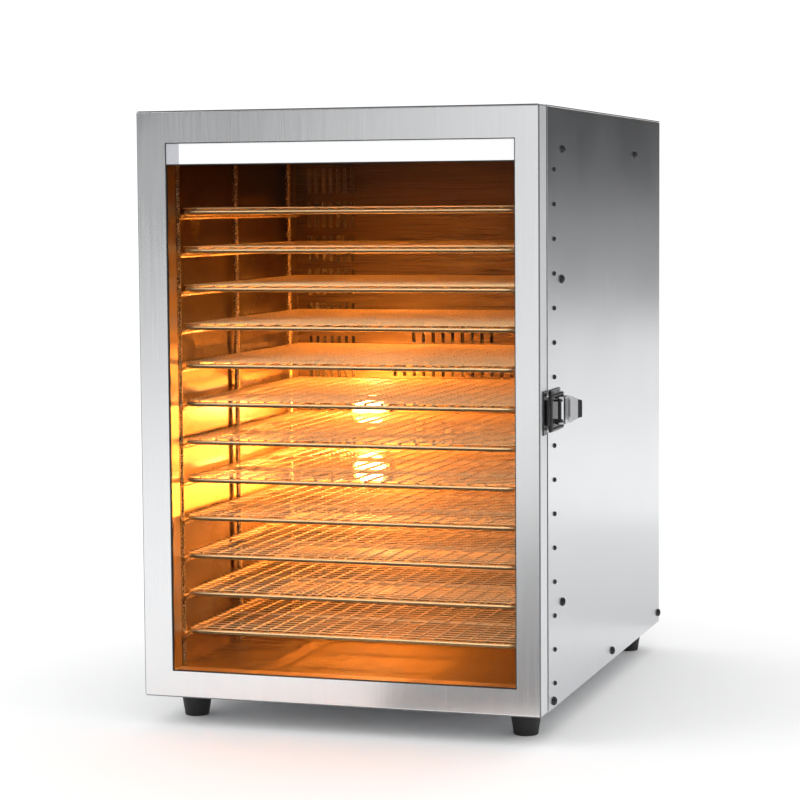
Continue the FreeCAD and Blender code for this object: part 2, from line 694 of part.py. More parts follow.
def heater():
    """An open ring of sheathed heater tube round the fan, with its two ends turned back."""
    ring = doc.addObject("Part::Torus", "heater_ring")
    bind(ring, "Radius1", "ring_radius")
    bind(ring, "Radius2", "tube_radius")
    ring.Angle3 = 330
    place(ring, (across(0), depth(455), FAN_Z), TURNS["+y"] * Rotation(Vector(0, 0, 1), 105))
    parts = [ring]
    for i, angle in enumerate((75, 105)):
        x = across(f"ring_radius * {math.cos(math.radians(angle)):.6f}")
        z = height(f"fan_height - ring_radius * {math.sin(math.radians(angle)):.6f}")
        parts += [
            ball(f"heater_elbow_{i}", "tube_radius", (x, depth(455), z)),
            rod(f"heater_leg_{i}", "tube_radius", 40, (x, depth(455), z), "+y"),
            rod(f"heater_stud_{i}", 2, 52, (x, depth(455), z), "+y"),
        ]
    node(fuse("heater", parts), "heating_element")

    clips = []
    near, far = depth("baffle_depth + sheet_thick"), depth(462)
    for i, (x, z) in enumerate(((0, 1), (-1, 0), (1, 0))):
        half_x, half_z = (1.5, 9) if z else (9, 1.5)
        cx, cz = f"ring_radius * {x}", f"fan_height + ring_radius * {z}"
        plate = slab(f"clip_{i}", (across(f"{cx} - {half_x}"), across(f"{cx} + {half_x}")),
                     (near, far), (height(f"{cz} - {half_z}"), height(f"{cz} + {half_z}")))
        start = [across(cx), depth(455), height(cz)]
        start = shifted(start, "-x" if z else "-z", 5)
        hole = rod(f"clip_hole_{i}", "tube_radius + 0.1", 10, start, "+x" if z else "+z")
        clips.append(cut(f"heater_clip_{i}", plate, [hole]))
    node(group("clips", clips), "heater_clips")


def sensors():
    disc = rod("cutout_disc", 9, 8, (across(90), depth(500), FAN_Z), "+y")
    tabs = [slab(f"cutout_tab_{i}", (across(90 + x), across(91 + x)), (depth(508), depth(516)),
                 (height("fan_height - 3"), height("fan_height + 3"))) for i, x in enumerate((-5, 4))]
    node(fuse("cutout", [disc] + tabs), "thermal_cutout")
    at = (across(100), depth(406), height(540))
    stem = rod("probe_stem", 2, 40, at, "+y")
    collar = rod("probe_collar", 5, 4, (at[0], depth("baffle_depth - 4"), at[2]), "+y")
    node(fuse("probe", [stem, collar]), "temperature_probe")


LAMPS = [(-100, 269), (-100, 200)]


def lamps():
    holders, lenses = [], []
    for i, (x, z) in enumerate(LAMPS):
        body = rod(f"lamp_body_{i}", 24, 10, (across(x), depth("baffle_depth - 10"), height(z)), "+y")
        seat = rod(f"lamp_seat_{i}", 19, 6, (across(x), depth("baffle_depth - 12"), height(z)), "+y")
        holders.append(cut(f"lamp_holder_{i}", body, [seat]))
        barrel = rod(f"lens_barrel_{i}", 19, 8, (across(x), depth("baffle_depth - 14"), height(z)), "+y")
        dome = doc.addObject("Part::Sphere", f"lens_dome_{i}")
        dome.Radius = 20.5
        dome.Angle1 = math.degrees(math.acos(19 / 20.5))
        place(dome, (across(x), depth("baffle_depth - 14 + 7.6974"), height(z)), TURNS["-y"])
        lenses.append(fuse(f"lens_{i}", [barrel, dome]))
    node(group("holders", holders), "lamp_holders")
    node(group("lenses", lenses), "lamp_lenses")


TERMINALS = (-70, 565, 1.5)


def mains_parts():
    """The inlet, the switch body and its rocker, and the block the wires meet at."""
    x, z = INLET
    flange = slab("inlet_flange", (across(x - 25), across(x + 25)), (BACK, f"{BACK} + 2.5"),
                  (height(z - 13), height(z + 13)))
    body = slab("inlet_body", (across(x - 13.8), across(x + 13.8)), (f"{BACK} - 26", f"{BACK} + 1"),
                (height(z - 10.3), height(z + 10.3)))
    recess = slab("inlet_recess", (across(x - 12), across(x + 12)), (f"{BACK} - 16", f"{BACK} + 4"),
                  (height(z - 8.3), height(z + 8.3)))
    blades = [slab(f"inlet_pin_{i}", (across(x + dx - 1), across(x + dx + 1)),
                   (f"{BACK} - 18", f"{BACK} - 2"), (height(z + dz - 2), height(z + dz + 2)))
              for i, (dx, dz) in enumerate(((-7, -2), (0, 3), (7, -2)))]
    socket = cut("inlet_shell", fuse("inlet_blank", [flange, body]), [recess])
    node(fuse("inlet", [socket] + blades), "mains_inlet")

    x, z = SWITCH
    flange = slab("switch_flange", (across(x - 8.5), across(x + 8.5)), (BACK, f"{BACK} + 1.5"),
                  (height(z - 12), height(z + 12)))
    body = slab("switch_body", (across(x - 6.4), across(x + 6.4)), (f"{BACK} - 20", f"{BACK} + 1"),
                (height(z - 9.8), height(z + 9.8)))
    well = slab("switch_well", (across(x - 5.2), across(x + 5.2)), (f"{BACK} - 9", f"{BACK} + 4"),
                (height(z - 9), height(z + 9)))
    node(cut("switch", fuse("switch_blank", [flange, body]), [well]), "switch_housing")
    keys = []
    for i, tilt in enumerate((-8, 8)):
        face = doc.addObject("Part::Box", f"rocker_face_{i}")
        face.Length = 9.6
        face.Width = 4
        face.Height = 8
        lean = Rotation(Vector(1, 0, 0), tilt - 8)
        corner = lean.multVec(Vector(-4.8, -1, 0 if i else -8))
        place(face, (across(f"{x} + {corner.x:.5f}"), f"{BACK} + {corner.y:.5f}",
                     height(f"{z} + {corner.z:.5f}")), lean)
        keys.append(face)
    keys.append(rod("rocker_barrel", 3, 9.6, (across(x - 4.8), BACK, height(z)), "+x"))
    node(fuse("rocker", keys), "power_rocker")

    x, y, z = TERMINALS
    block_body = slab("terminal_body", (across(x), across(x + 50)), (depth(y - 20), depth(y)),
                      (height(z), height(z + 18)))
    studs = [rod(f"terminal_stud_{i}", 2.5, 3, (across(x + 8 + 11 * i), depth(y - 10), height(z + 17)))
             for i in range(4)]
    node(fuse("terminals", [block_body] + studs), "terminal_block")


def wire(name, points, radius):
    """A wire through a list of points, rounded with a ball at each bend."""
    places = [(across(x), depth(y), height(z)) for x, y, z in points]
    parts = []
    for i, (start, end) in enumerate(zip(points, points[1:])):
        run = [b - a for a, b in zip(start, end)]
        length = math.sqrt(sum(r * r for r in run))
        core = doc.addObject("Part::Cylinder", f"{name}_run_{i}")
        core.Radius = radius
        core.Height = length
        parts.append(place(core, places[i], Rotation(Vector(0, 0, 1), Vector(*run))))
    for i, at in enumerate(places[1:-1]):
        parts.append(ball(f"{name}_bend_{i}", radius, at))
    return fuse(name, parts)


def wiring():
    """Four insulated wires: inlet to switch, then to the block, the motor and the heater."""
    x, y, z = TERMINALS
    leg = (29, 507, 305 - 108.2)
    wires = [
        wire("wire_feed", [(105, 576, 60), (95, 560, 52), (84, 560, 52), (74, 576, 60)], 1.6),
        wire("wire_live", [(126, 563.9, 56), (126, 552, 30), (0, 552, 30), (x + 30, y - 10, 30),
                           (x + 30, y - 10, 21.6)], 1.6),
        wire("wire_motor", [(x + 19, y - 10, 21.6), (x + 19, y - 10, 120), (-30, 556, 200),
                            (-20, 556, 290)], 1.6),
        wire("wire_heat", [(x + 41, y - 10, 21.6), (x + 41, y - 10, 120), (leg[0], 530, 160),
                           (leg[0], 530, leg[2]), leg], 1.6),
    ]
    node(group("wires", wires), "wiring_loom")


# ---------------------------------------------------------------- make, check and write

case_panels()
front_frame()
chamber_liner()
insulation()
rear_baffle()
rear_cover()
feet()
side_fasteners()
rack()
for number in range(TRAY_COUNT):
    tray(number)
door_frame()
door_inner_frame()
door_glazing()
door_seal()
control_strip()
hinges()
small_screws()
latch_parts()
latch_lever()
latch_loop()
fan_and_motor()
heater()
sensors()
lamps()
mains_parts()
wiring()
doc.recompute()

for thing in doc.Objects:
    if "Invalid" in thing.State or "Error" in thing.State:
        raise RuntimeError(f"{thing.Name} failed: {thing.State}")
for thing in NODES:
    if thing.Shape.isNull() or not thing.Shape.isValid():
        raise RuntimeError(f"{thing.Label} has no valid shape")

os.makedirs("parts", exist_ok=True)
for thing in NODES:
    thing.Shape.exportStep(f"parts/{thing.Label}.step")
    print(thing.Label, len(thing.Shape.Solids), "solids", round(thing.Shape.Volume / 1000, 2), "cm3")
print(len(NODES), "nodes written")
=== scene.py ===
# %% [markdown]
# # A cabinet food dehydrator
# The machine is a stainless cupboard with a glass door. Warm air goes round twelve wire trays,
# and two lamps light them from behind. Its working parts come from a CAD model, and this lesson
# gives them their looks: folded sheets with soft edges, brushed steel, rubber, glass and wire.
# The CAD model is loaded first and is never moved. Every new piece takes its place from it.

# %% Load the machine
import math

import bmesh
import bpy
from mathutils import Matrix, Vector


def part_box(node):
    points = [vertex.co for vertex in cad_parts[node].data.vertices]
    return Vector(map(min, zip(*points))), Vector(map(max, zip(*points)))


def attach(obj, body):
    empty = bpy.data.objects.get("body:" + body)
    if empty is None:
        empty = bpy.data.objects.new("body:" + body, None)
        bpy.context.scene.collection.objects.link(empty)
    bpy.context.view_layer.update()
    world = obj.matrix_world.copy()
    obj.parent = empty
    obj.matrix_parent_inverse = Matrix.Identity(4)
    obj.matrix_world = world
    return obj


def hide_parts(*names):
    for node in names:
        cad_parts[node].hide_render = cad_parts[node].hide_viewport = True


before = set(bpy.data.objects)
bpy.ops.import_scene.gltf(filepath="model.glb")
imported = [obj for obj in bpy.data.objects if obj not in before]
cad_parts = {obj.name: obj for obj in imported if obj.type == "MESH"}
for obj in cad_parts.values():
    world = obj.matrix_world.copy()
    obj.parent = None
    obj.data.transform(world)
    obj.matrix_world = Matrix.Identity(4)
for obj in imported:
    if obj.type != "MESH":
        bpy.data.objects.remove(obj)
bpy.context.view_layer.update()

scene = bpy.context.scene
MM = 0.001

# %% [markdown]
# ## Where things are
# A part's box in the CAD model says where it begins and ends, so no place is typed twice.
# The case runs from the side panels' faces, and the door hangs in front of it.

# %% Landmarks
door_low, door_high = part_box("door_frame")
left_low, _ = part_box("side_panel_left")
_, right_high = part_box("side_panel_right")
_, roof_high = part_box("top_panel")
_, cover_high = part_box("rear_cover")
case_back = cover_high.y
LEFT, RIGHT, TOP, BASE = left_low.x, right_high.x, roof_high.z, left_low.z
MIDDLE = (LEFT + RIGHT) / 2
print("case:", round(RIGHT - LEFT, 3), "wide,", round(TOP - BASE, 3), "high")

# %% [markdown]
# ## The camera
# A long lens stands a few paces away, to the right of the door and near the height of its upper
# trays, and looks slightly down. A camera looks down its own -Z, so it is turned to look along a
# direction, then rolled by a fraction of a degree.

# %% Camera
CAMERA_PLACE = (0.7988, -2.6222, BASE + 0.5152)
LENS = 109.3
TURN, DROP, ROLL = math.radians(17.57), math.radians(4.63), math.radians(-0.42)
ahead = Vector((-math.sin(TURN) * math.cos(DROP), math.cos(TURN) * math.cos(DROP), -math.sin(DROP)))
camera = bpy.data.objects.new("camera", bpy.data.cameras.new("camera"))
scene.collection.objects.link(camera)
aim = ahead.to_track_quat("-Z", "Y").to_matrix().to_4x4() @ Matrix.Rotation(ROLL, 4, "Z")
camera.matrix_world = Matrix.Translation(CAMERA_PLACE) @ aim
camera.data.lens = LENS
camera.data.dof.use_dof = False
scene.camera = camera
print("camera at", tuple(round(c, 2) for c in camera.location))

# %% [markdown]
# ## The studio
# Polished metal shows the room more than itself, so the room matters as much as the finish.
# It starts with the floor, a pale plane with no gloss, so that it takes a soft shadow and mirrors
# nothing. Rays that have just passed through glass don't see it: what the chamber's walls mirror
# through the door is settled by the room further down.

# %% Floor
FLOOR_HALF = 9.0
PAPER_WHITE = (0.97, 0.97, 0.97, 1)
bm = bmesh.new()
bmesh.ops.create_grid(bm, x_segments=1, y_segments=1, size=FLOOR_HALF)
floor_mesh = bpy.data.meshes.new("floor")
bm.to_mesh(floor_mesh)
bm.free()
floor = bpy.data.objects.new("floor", floor_mesh)
scene.collection.objects.link(floor)
paper = bpy.data.materials.new("floor_paper")
paper.use_nodes = True
paper_shader = paper.node_tree.nodes["Principled BSDF"]
paper_shader.inputs["Base Color"].default_value = PAPER_WHITE
paper_shader.inputs["Roughness"].default_value = 0.9
paper_shader.inputs["Specular IOR Level"].default_value = 0.0
floor_mesh.materials.append(paper)
floor.visible_transmission = False
print("floor:", 2 * FLOOR_HALF, "m across")

# %% [markdown]
# ## Cards on the floor
# In a studio, grey cards are laid round polished metal to shade its reflections. One here shades
# the foot of the door and one the lower part of the side. They are real planes, so that they lie
# in the right place for each reflection, and only mirror-like surfaces see them.

# %% Grey cards
CARD_LIFT = 0.002


def lay_card(name, middle, half, turn, level):
    """A flat card on the floor that only reflections can see."""
    bm = bmesh.new()
    spot = Matrix.Translation((*middle, CARD_LIFT)) @ Matrix.Rotation(math.radians(turn), 4, "Z")
    shape = spot @ Matrix.Diagonal((*half, 1, 1))
    bmesh.ops.create_grid(bm, x_segments=1, y_segments=1, size=1.0, matrix=shape)
    mesh = bpy.data.meshes.new(name)
    bm.to_mesh(mesh)
    bm.free()
    card = bpy.data.objects.new(name, mesh)
    scene.collection.objects.link(card)
    felt = bpy.data.materials.new(f"{name}_felt")
    felt.use_nodes = True
    felt_shader = felt.node_tree.nodes["Principled BSDF"]
    felt_shader.inputs["Base Color"].default_value = (level, level, level, 1)
    felt_shader.inputs["Specular IOR Level"].default_value = 0.0
    mesh.materials.append(felt)
    card.visible_camera = False
    card.visible_diffuse = False
    card.visible_shadow = False
    card.visible_transmission = False


# Each card's middle, half sizes, turn in degrees and brightness.
CARDS = {
    "flag_front": ((0.29, -1.29), (0.50, 0.80), -14.3, 0.27),
    "flag_rear": ((0.46, 0.90), (0.20, 0.52), -13.0, 0.75),
}
for card_name, settings in CARDS.items():
    lay_card(card_name, *settings)
print("cards on the floor:", len(CARDS))

# %% [markdown]
# ## The painted room
# A sky of one brightness makes polished steel look like plastic. The sky here is a room painted
# on the inside of a ball, in shades of grey: a wash from the horizon up, and soft round patches
# laid over it, one as bright as a softbox and the rest dark as flags. A patch is a direction, and
# it fades with the angle from that direction. Below the horizon the ball is white, with two
# darker patches.

# %% Painting helpers
world = bpy.data.worlds.new("studio")
world.use_nodes = True
scene.world = world
sky = world.node_tree
sky_out = sky.nodes["Background"]
sky_out.inputs["Color"].default_value = (1, 1, 1, 1)
looking = sky.nodes.new("ShaderNodeTexCoord")
parts = sky.nodes.new("ShaderNodeSeparateXYZ")
sky.links.new(looking.outputs["Generated"], parts.inputs["Vector"])
height = parts.outputs["Z"]


def toward(azimuth, elevation):
    """The direction of a place in the room; azimuth 0 is in front of the door, 90 its right."""
    a, e = math.radians(azimuth), math.radians(elevation)
    return (math.sin(a) * math.cos(e), -math.cos(a) * math.cos(e), math.sin(e))


def mixed(factor, first, second):
    """Take one brightness or another; each is a socket, or a number for a plain one."""
    mix = sky.nodes.new("ShaderNodeMix")
    for value, name in ((factor, "Factor"), (first, "A"), (second, "B")):
        if isinstance(value, float):
            mix.inputs[name].default_value = value
        else:
            sky.links.new(value, mix.inputs[name])
    return mix.outputs["Result"]


def paint(so_far, azimuth, elevation, inner, outer, level):
    """Lay one soft round patch of a brightness over what the room has so far."""
    near = sky.nodes.new("ShaderNodeVectorMath")
    near.operation = "DOT_PRODUCT"
    sky.links.new(looking.outputs["Generated"], near.inputs[0])
    near.inputs[1].default_value = toward(azimuth, elevation)
    fade = sky.nodes.new("ShaderNodeMapRange")
    fade.interpolation_type = "SMOOTHSTEP"
    fade.inputs["From Min"].default_value = math.cos(math.radians(outer))
    fade.inputs["From Max"].default_value = math.cos(math.radians(inner))
    sky.links.new(near.outputs["Value"], fade.inputs["Value"])
    return mixed(fade.outputs["Result"], so_far, level)


def wash(low, high, low_level, high_level, interpolation="LINEAR"):
    """A brightness that changes from one height of the room to another."""
    blend = sky.nodes.new("ShaderNodeMapRange")
    blend.interpolation_type = interpolation
    blend.inputs["From Min"].default_value = low
    blend.inputs["From Max"].default_value = high
    blend.inputs["To Min"].default_value = low_level
    blend.inputs["To Max"].default_value = high_level
    sky.links.new(height, blend.inputs["Value"])
    return blend.outputs["Result"]


def compare(operation, value, limit):
    """One where a value is past a limit, and nothing elsewhere."""
    test = sky.nodes.new("ShaderNodeMath")
    test.operation = operation
    test.inputs[1].default_value = limit
    sky.links.new(value, test.inputs[0])
    return test.outputs["Value"]


# %% The sky and the ground
# A patch's azimuth, elevation, full radius, faded radius, all in degrees, and its brightness.
SKY_PATCHES = (
    (75, 5, 35, 58, 0.28),
    (-85, 5, 25, 45, 0.28),
    (163, 10, 20, 40, 0.04),
    (-31, 8, 12, 19, 0.05),
    (-11, 2, 5, 11, 1.1),
)
GROUND_PATCHES = (
    (166, 0, 20, 35, 0.35),
    (-32, 0, 11, 19, 0.10),
)
HORIZON_LEVEL, UPPER_LEVEL, UPPER_HEIGHT = 0.7, 0.40, 0.6
brightness = wash(0.0, UPPER_HEIGHT, HORIZON_LEVEL, UPPER_LEVEL)
for patch in SKY_PATCHES:
    brightness = paint(brightness, *patch)
plain = sky.nodes.new("ShaderNodeValue")
plain.outputs["Value"].default_value = 1.0
ground = plain.outputs["Value"]
for patch in GROUND_PATCHES:
    ground = paint(ground, *patch)
room = mixed(compare("LESS_THAN", height, 0.0), brightness, ground)
print("patches painted:", len(SKY_PATCHES) + len(GROUND_PATCHES))

# %% [markdown]
# ## What each ray sees
# Only glossy rays see the painted room. The eye and matt surfaces get a plain white, so the
# background stays clean and the light soft. The chamber needs a rule of its own, or its walls
# mirror the white studio through the door and its amber turns to milk. A ray crosses two faces
# of the pane on its way in and two on its way out, so one that has crossed more than two has
# come out again. It finds the room dim, and bright only higher up.

# %% Rays
WHITE_LEVEL = 1.08
CROSSINGS_IN = 2.5
DIM_BELOW, BRIGHT_ABOVE = 0.12, 0.32
DIM_LEVEL, BRIGHT_LEVEL = 0.03, 2.4
ray = sky.nodes.new("ShaderNodeLightPath")
outdoors = mixed(ray.outputs["Is Glossy Ray"], WHITE_LEVEL, room)
has_come_out = compare("GREATER_THAN", ray.outputs["Transmission Depth"], CROSSINGS_IN)
from_chamber = wash(DIM_BELOW, BRIGHT_ABOVE, DIM_LEVEL, BRIGHT_LEVEL, "SMOOTHSTEP")
sky.links.new(mixed(has_come_out, outdoors, from_chamber), sky_out.inputs["Strength"])
scene.view_settings.view_transform = "Standard"
scene.cycles.use_denoising = True
print("nodes in the sky:", len(sky.nodes))

# %% [markdown]
# ## Lamps for the studio and for the cabinet
# Two broad area lights stand in for softboxes. Inside, each of the two lenses on the back wall
# gets a small warm light just in front of it, because a glowing mesh alone makes a noisy light.

# %% Lights
WARM = (1.0, 0.31, 0.035)
GLOW_POWER, GLOW_RADIUS, GLOW_AHEAD = 46.0, 0.012, 0.014


def softbox(name, place, target, size, power):
    """A broad white light that faces a target and isn't seen itself."""
    lamp = bpy.data.lights.new(name, "AREA")
    lamp.shape = "RECTANGLE"
    lamp.size, lamp.size_y = size
    lamp.energy = power
    thing = bpy.data.objects.new(name, lamp)
    scene.collection.objects.link(thing)
    thing.location = place
    thing.rotation_mode = "QUATERNION"
    thing.rotation_quaternion = (Vector(target) - Vector(place)).to_track_quat("-Z", "Y")
    thing.visible_camera = False


heart = (MIDDLE, 0.0, (TOP + BASE) / 2)
softbox("softbox_left", (-2.2, -2.0, 1.9), heart, (1.6, 1.6), 14)
softbox("softbox_rear", (0.6, 2.6, 2.2), heart, (1.8, 1.2), 10)

lens_low, lens_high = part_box("lamp_lenses")
lens_radius = (lens_high.x - lens_low.x) / 2
lens_x = (lens_low.x + lens_high.x) / 2
lamp_heights = (lens_high.z - lens_radius, lens_low.z + lens_radius)
for number, lamp_z in enumerate(lamp_heights, start=1):
    glow = bpy.data.lights.new(f"lamp_glow_{number}", "POINT")
    glow.energy = GLOW_POWER
    glow.color = WARM
    glow.shadow_soft_size = GLOW_RADIUS
    bulb = bpy.data.objects.new(glow.name, glow)
    scene.collection.objects.link(bulb)
    bulb.location = (lens_x, lens_low.y - GLOW_AHEAD, lamp_z)
print("lamp lenses at heights", [round(z, 3) for z in lamp_heights])

# %% [markdown]
# ## Making a finish
# Each finish is a Principled shader with a pattern worked out from the object's own coordinates,
# which are metres here, so a scale of 1000 has features about a millimetre across. These helpers
# add a noise, turn its value into a colour or a number, and use it as fine relief.

# %% Finish helpers
RELIEF_STRENGTH = 0.4


def new_finish(name, rough, metal=0.0):
    """An empty material and its shader."""
    look = bpy.data.materials.new(name)
    look.use_nodes = True
    shader = look.node_tree.nodes["Principled BSDF"]
    shader.inputs["Roughness"].default_value = rough
    shader.inputs["Metallic"].default_value = metal
    return look, shader


def noise(look, scale, detail=3.0):
    """Cloudy noise; scale is one number, or three that stretch it along X, Y and Z."""
    nodes, links = look.node_tree.nodes, look.node_tree.links
    where = nodes.new("ShaderNodeTexCoord")
    stretch = nodes.new("ShaderNodeMapping")
    stretch.inputs["Scale"].default_value = scale if hasattr(scale, "__len__") else (scale,) * 3
    cloud = nodes.new("ShaderNodeTexNoise")
    cloud.inputs["Scale"].default_value = 1.0
    cloud.inputs["Detail"].default_value = detail
    cloud.inputs["Roughness"].default_value = 0.55
    links.new(where.outputs["Object"], stretch.inputs["Vector"])
    links.new(stretch.outputs["Vector"], cloud.inputs["Vector"])
    return cloud.outputs["Fac"]


def tint(look, value, dark, light):
    """Turn a pattern into a colour between two."""
    ramp = look.node_tree.nodes.new("ShaderNodeValToRGB")
    ramp.color_ramp.elements[0].position = 0.35
    ramp.color_ramp.elements[1].position = 0.65
    ramp.color_ramp.elements[0].color = (*dark, 1)
    ramp.color_ramp.elements[1].color = (*light, 1)
    look.node_tree.links.new(value, ramp.inputs["Fac"])
    return ramp.outputs["Color"]


def between(look, value, low, high):
    """Turn a pattern into a number between two."""
    stretch = look.node_tree.nodes.new("ShaderNodeMapRange")
    stretch.inputs["From Min"].default_value = 0.3
    stretch.inputs["From Max"].default_value = 0.7
    stretch.inputs["To Min"].default_value = low
    stretch.inputs["To Max"].default_value = high
    look.node_tree.links.new(value, stretch.inputs["Value"])
    return stretch.outputs["Result"]


def relief(look, shader, value, strength, distance):
    """Use a pattern as fine relief, so many metres deep."""
    bump = look.node_tree.nodes.new("ShaderNodeBump")
    bump.inputs["Strength"].default_value = strength
    bump.inputs["Distance"].default_value = distance
    look.node_tree.links.new(value, bump.inputs["Height"])
    look.node_tree.links.new(bump.outputs["Normal"], shader.inputs["Normal"])


def grained(name, dark, light, rough, metal, scale, depth):
    """The common finish: one noise gives a little colour, a little gloss and a fine relief."""
    look, shader = new_finish(name, sum(rough) / 2, metal)
    value = noise(look, scale)
    links = look.node_tree.links
    links.new(tint(look, value, dark, light), shader.inputs["Base Color"])
    links.new(between(look, value, *rough), shader.inputs["Roughness"])
    relief(look, shader, value, RELIEF_STRENGTH, depth)
    return look


# %% [markdown]
# ## Brushed stainless steel
# Sheet like this is drawn past an abrasive belt, which leaves hair lines one way and a gloss
# that is broken across them. Noise stretched over a hundred times longer one way makes the
# lines. A second, large and slow noise varies the gloss, as handling and wiping do. The case's
# sheets and the door are brushed upright, and the chamber's sheets across.

# %% Steel finishes
HANDLED = 6.0
HAIR_STRENGTH, HAIR_DEPTH = 0.12, 0.00006


def brushed(name, dark, light, rough, lines):
    """Steel with hair lines; lines is the noise's scale along X, Y and Z."""
    look, shader = new_finish(name, sum(rough) / 2, 1.0)
    links = look.node_tree.links
    hair = noise(look, lines, detail=2.0)
    slow = noise(look, HANDLED, detail=2.0)
    links.new(tint(look, hair, dark, light), shader.inputs["Base Color"])
    half = look.node_tree.nodes.new("ShaderNodeMath")
    half.operation = "MULTIPLY"
    half.inputs[1].default_value = 0.5
    links.new(slow, half.inputs[0])
    gloss = look.node_tree.nodes.new("ShaderNodeMath")
    gloss.operation = "MULTIPLY_ADD"
    gloss.inputs[1].default_value = 0.5
    links.new(hair, gloss.inputs[0])
    links.new(half.outputs["Value"], gloss.inputs[2])
    links.new(between(look, gloss.outputs["Value"], *rough), shader.inputs["Roughness"])
    relief(look, shader, hair, HAIR_STRENGTH, HAIR_DEPTH)
    return look


UPRIGHT = (1900, 1900, 12)
ACROSS = (12, 1900, 1900)
BRUSHED = {
    "case_steel": ((0.62, 0.63, 0.65), (0.68, 0.69, 0.71), (0.20, 0.28), UPRIGHT),
    "door_steel": ((0.78, 0.79, 0.80), (0.84, 0.85, 0.86), (0.20, 0.28), UPRIGHT),
    # The door's sides: a rougher steel, also painted lighter as a painted highlight.
    "door_side_highlight_steel": ((0.84, 0.85, 0.86), (0.92, 0.93, 0.94), (0.45, 0.6), UPRIGHT),
    # The door's folds: a dark steel, a painted shade line along each fold.
    "fold_shade_steel": ((0.20, 0.20, 0.21), (0.28, 0.28, 0.29), (0.34, 0.42), UPRIGHT),
    # The chamber's walls: a dark, warm steel, painted shade with a painted warm cast.
    "inner_steel": ((0.12, 0.10, 0.085), (0.19, 0.165, 0.14), (0.24, 0.34), ACROSS),
    # The door's back and the front flange: a lighter copy of the chamber's steel, painted light.
    "frame_steel": ((0.42, 0.42, 0.42), (0.50, 0.50, 0.50), (0.26, 0.36), UPRIGHT),
}
looks = {finish: brushed(finish, *recipe) for finish, recipe in BRUSHED.items()}
print("steel finishes:", len(looks))

# %% [markdown]
# ## Other finishes
# Small parts follow the same recipe with other numbers: bright drawn wire, black oxide on the
# rivets, moulded rubber, soft plastic, and the plain metals of the works behind the chamber.

# %% Small metals
# Dark and light colour, the range of roughness, how metallic, the noise's scale, the relief.
FINISHES = {
    "bright_wire": ((0.60, 0.58, 0.55), (0.78, 0.76, 0.72), (0.18, 0.32), 1.0, 700, 0.00002),
    "tray_wire": ((0.62, 0.60, 0.57), (0.80, 0.78, 0.75), (0.25, 0.40), 1.0, 900, 0.00006),
    "dark_steel": ((0.015, 0.015, 0.017), (0.05, 0.05, 0.055), (0.30, 0.45), 0.6, 900, 0.00005),
    "latch_dark": ((0.010, 0.010, 0.011), (0.035, 0.035, 0.037), (0.22, 0.38), 0.3, 1200, 0.00004),
    "latch_bright": ((0.40, 0.40, 0.41), (0.52, 0.52, 0.53), (0.14, 0.24), 1.0, 500, 0.00003),
    "zinc_steel": ((0.52, 0.53, 0.54), (0.70, 0.70, 0.70), (0.28, 0.45), 1.0, 700, 0.00006),
    "fan_metal": ((0.55, 0.56, 0.57), (0.68, 0.69, 0.70), (0.30, 0.45), 1.0, 400, 0.00006),
    "sensor_metal": ((0.58, 0.55, 0.50), (0.72, 0.70, 0.66), (0.25, 0.40), 1.0, 900, 0.00004),
    "motor_paint": ((0.05, 0.055, 0.06), (0.09, 0.095, 0.10), (0.35, 0.55), 0.2, 500, 0.0001),
    "heater_sheath": ((0.10, 0.085, 0.075), (0.20, 0.16, 0.13), (0.40, 0.60), 0.8, 300, 0.0001),
}
for finish, recipe in FINISHES.items():
    looks[finish] = grained(finish, *recipe)
print("metal finishes:", len(looks))

# %% Rubbers and plastics
# Dark and light colour, the range of roughness, the noise's scale, the relief.
SOFT = {
    "black_rubber": ((0.008, 0.008, 0.008), (0.022, 0.022, 0.023), (0.50, 0.75), 1500, 0.0001),
    "seal_rubber": ((0.02, 0.02, 0.021), (0.045, 0.045, 0.047), (0.55, 0.75), 1200, 0.0001),
    "white_plastic": ((0.86, 0.87, 0.87), (0.93, 0.93, 0.93), (0.22, 0.32), 1500, 0.00003),
    "grey_plastic": ((0.42, 0.43, 0.46), (0.50, 0.51, 0.54), (0.30, 0.42), 1500, 0.00003),
    "black_plastic": ((0.010, 0.010, 0.011), (0.028, 0.028, 0.030), (0.35, 0.50), 2000, 0.00006),
    "rocker_plastic": ((0.30, 0.012, 0.010), (0.42, 0.02, 0.015), (0.20, 0.30), 1500, 0.00003),
    "block_plastic": ((0.62, 0.60, 0.54), (0.72, 0.70, 0.64), (0.35, 0.50), 1500, 0.00006),
    "lamp_plastic": ((0.10, 0.09, 0.08), (0.17, 0.15, 0.13), (0.40, 0.55), 1500, 0.00006),
    "wool": ((0.62, 0.58, 0.42), (0.82, 0.79, 0.64), (0.85, 1.0), 260, 0.002),
    "wire_skin": ((0.04, 0.10, 0.24), (0.06, 0.14, 0.32), (0.35, 0.45), 900, 0.00005),
    "board_green": ((0.008, 0.06, 0.025), (0.02, 0.13, 0.055), (0.30, 0.45), 1400, 0.00008),
}
for finish, (dark, light, rough, scale, depth) in SOFT.items():
    looks[finish] = grained(finish, dark, light, rough, 0.0, scale, depth)
print("all finishes so far:", len(looks))

# %% [markdown]
# ## Glass
# The door has one amber-tinted pane. Real glass mirrors a few hundredths of what is in front of
# it, which would veil a dark cabinet in a white room. A low index of refraction keeps the mirror
# weak, as a polarising filter would. Faint wipe marks vary the gloss. The lamp lenses are
# moulded glass that glows in two warm tints.

# %% Glass finishes
pane, pane_shader = new_finish("tinted_glass", 0.02)
pane_shader.inputs["Base Color"].default_value = (0.88, 0.72, 0.52, 1)
pane_shader.inputs["Transmission Weight"].default_value = 1.0
pane_shader.inputs["IOR"].default_value = 1.1
wipes = noise(pane, (14, 14, 40), detail=4.0)
pane.node_tree.links.new(between(pane, wipes, 0.0, 0.03), pane_shader.inputs["Roughness"])
looks["tinted_glass"] = pane

